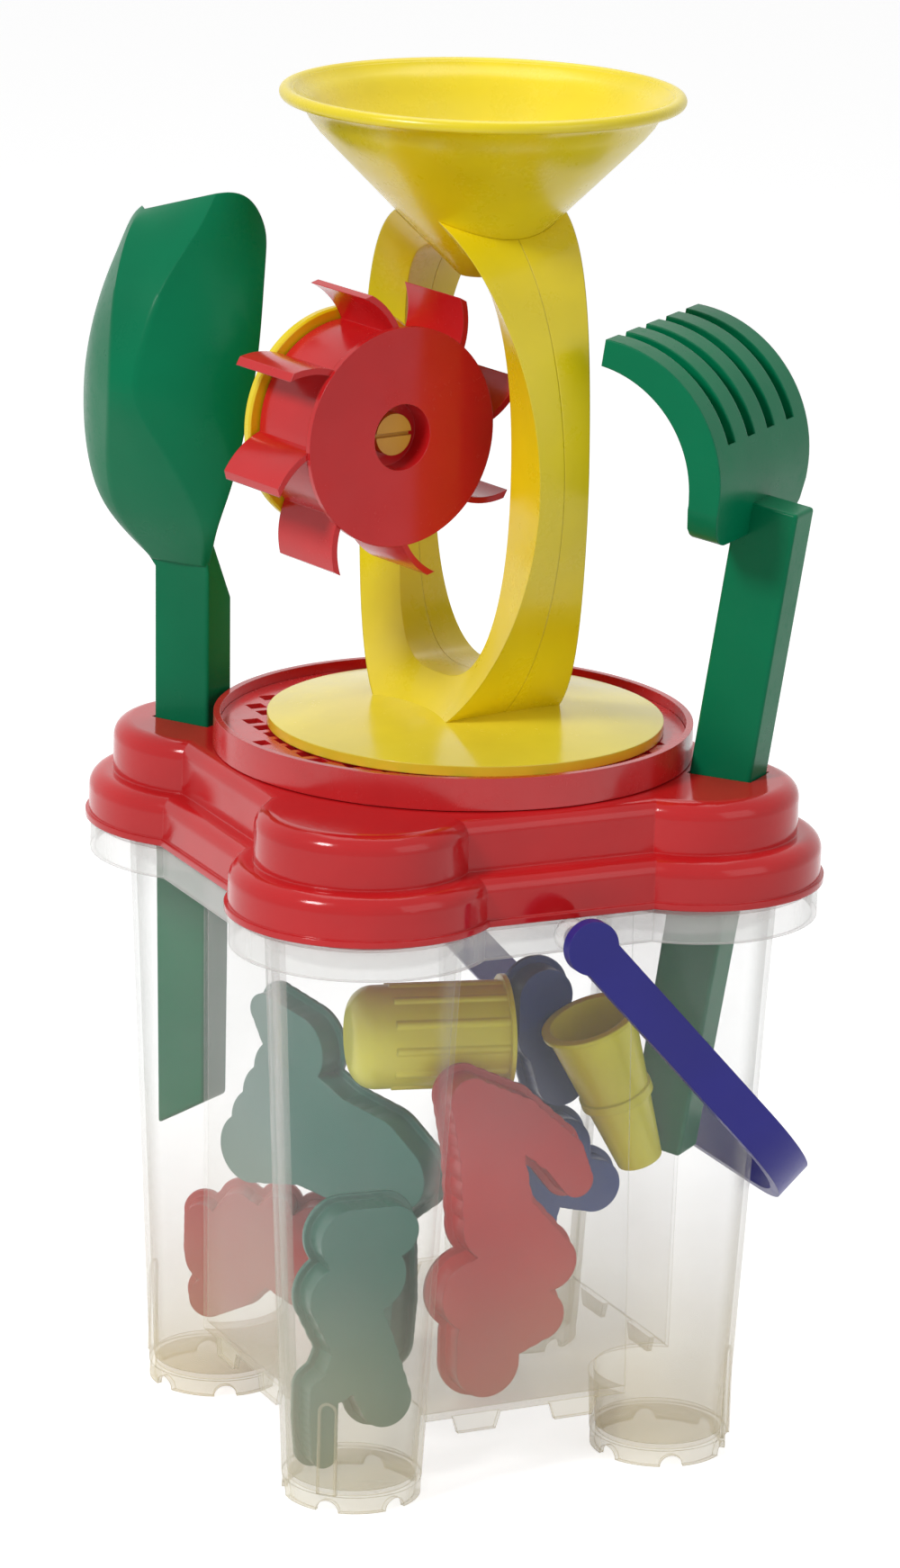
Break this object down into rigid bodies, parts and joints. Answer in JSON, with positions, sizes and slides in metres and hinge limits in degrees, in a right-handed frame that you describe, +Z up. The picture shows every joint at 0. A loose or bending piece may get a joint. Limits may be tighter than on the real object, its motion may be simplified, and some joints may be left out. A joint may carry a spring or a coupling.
{
  "type": "sand wheel toy set",
  "caption": "Clear castle bucket with a bail and lobed lid, carrying a sieve, a sand mill with funnel and paddle wheel, a shovel, a rake and loose sand moulds.",
  "frame": {"origin": "on the bucket's upright axis, in the plane that its four towers stand on", "axes": "+Z up; X and Y along the bucket's flat walls; the front of the set faces -Y; the bail hangs towards +X"},
  "size_m": [0.1883, 0.189, 0.3963],
  "materials": {
    "clear_bucket": "clear moulded plastic, slightly milky",
    "blue_bail": "moulded, satin",
    "red_lid": "moulded, glossy",
    "red_sieve": "moulded, glossy",
    "yellow_base": "moulded, glossy",
    "yellow_hoop": "moulded, satin",
    "yellow_funnel": "moulded, satin",
    "amber_pin": "moulded, satin",
    "red_wheel": "moulded, glossy",
    "green_shovel": "moulded, satin",
    "green_rake": "moulded, satin",
    "green_mould": "thin moulded, satin",
    "red_mould": "thin moulded, satin",
    "yellow_mould": "thin moulded, satin",
    "blue_mould": "thin moulded, satin"
  },
  "bodies": {
    "bucket": {"bucket": "clear_bucket", "large_green_mould": "green_mould", "small_green_mould": "green_mould", "shell_mould": "red_mould", "hooked_mould": "red_mould", "ribbed_cup_mould": "yellow_mould", "tower_mould": "yellow_mould", "tall_blue_mould": "blue_mould", "small_blue_mould": "blue_mould"},
    "bail": {"bail": "blue_bail"},
    "lid": {"lid": "red_lid"},
    "sieve": {"sieve": "red_sieve", "sieve_grid": "red_sieve"},
    "mill": {"mill_base": "yellow_base", "hoop_half_left": "yellow_hoop", "hoop_half_right": "yellow_hoop", "funnel": "yellow_funnel", "axle_pin": "amber_pin"},
    "wheel": {"wheel": "red_wheel"},
    "shovel": {"shovel": "green_shovel"},
    "rake": {"rake": "green_rake"}
  },
  "joints": [
    {"name": "bail_swing", "type": "hinge", "parent": "bucket", "child": "bail", "pos_m": [0, 0, 0.1702], "axis": [0, -1, 0], "range_deg": [0, 82]},
    {"name": "lid_lift", "type": "slide", "parent": "bucket", "child": "lid", "axis": [0, 0, 1], "range_m": [0, 0.1]},
    {"name": "sieve_lift", "type": "slide", "parent": "lid", "child": "sieve", "axis": [0, 0, 1], "range_m": [0, 0.03]},
    {"name": "mill_lift", "type": "slide", "parent": "sieve", "child": "mill", "axis": [0, 0, 1], "range_m": [0, 0.03]},
    {"name": "wheel_spin", "type": "hinge", "parent": "mill", "child": "wheel", "pos_m": [-0.03114, -0.00772, 0.3022], "axis": [0.1788, -0.9839, 0], "continuous": true},
    {"name": "shovel_lift", "type": "slide", "parent": "lid", "child": "shovel", "axis": [-0.0092, 0.0148, 0.9998], "range_m": [0, 0.11]},
    {"name": "rake_lift", "type": "slide", "parent": "lid", "child": "rake", "axis": [0.0857, -0.1097, 0.9903], "range_m": [0, 0.11]}
  ]
}
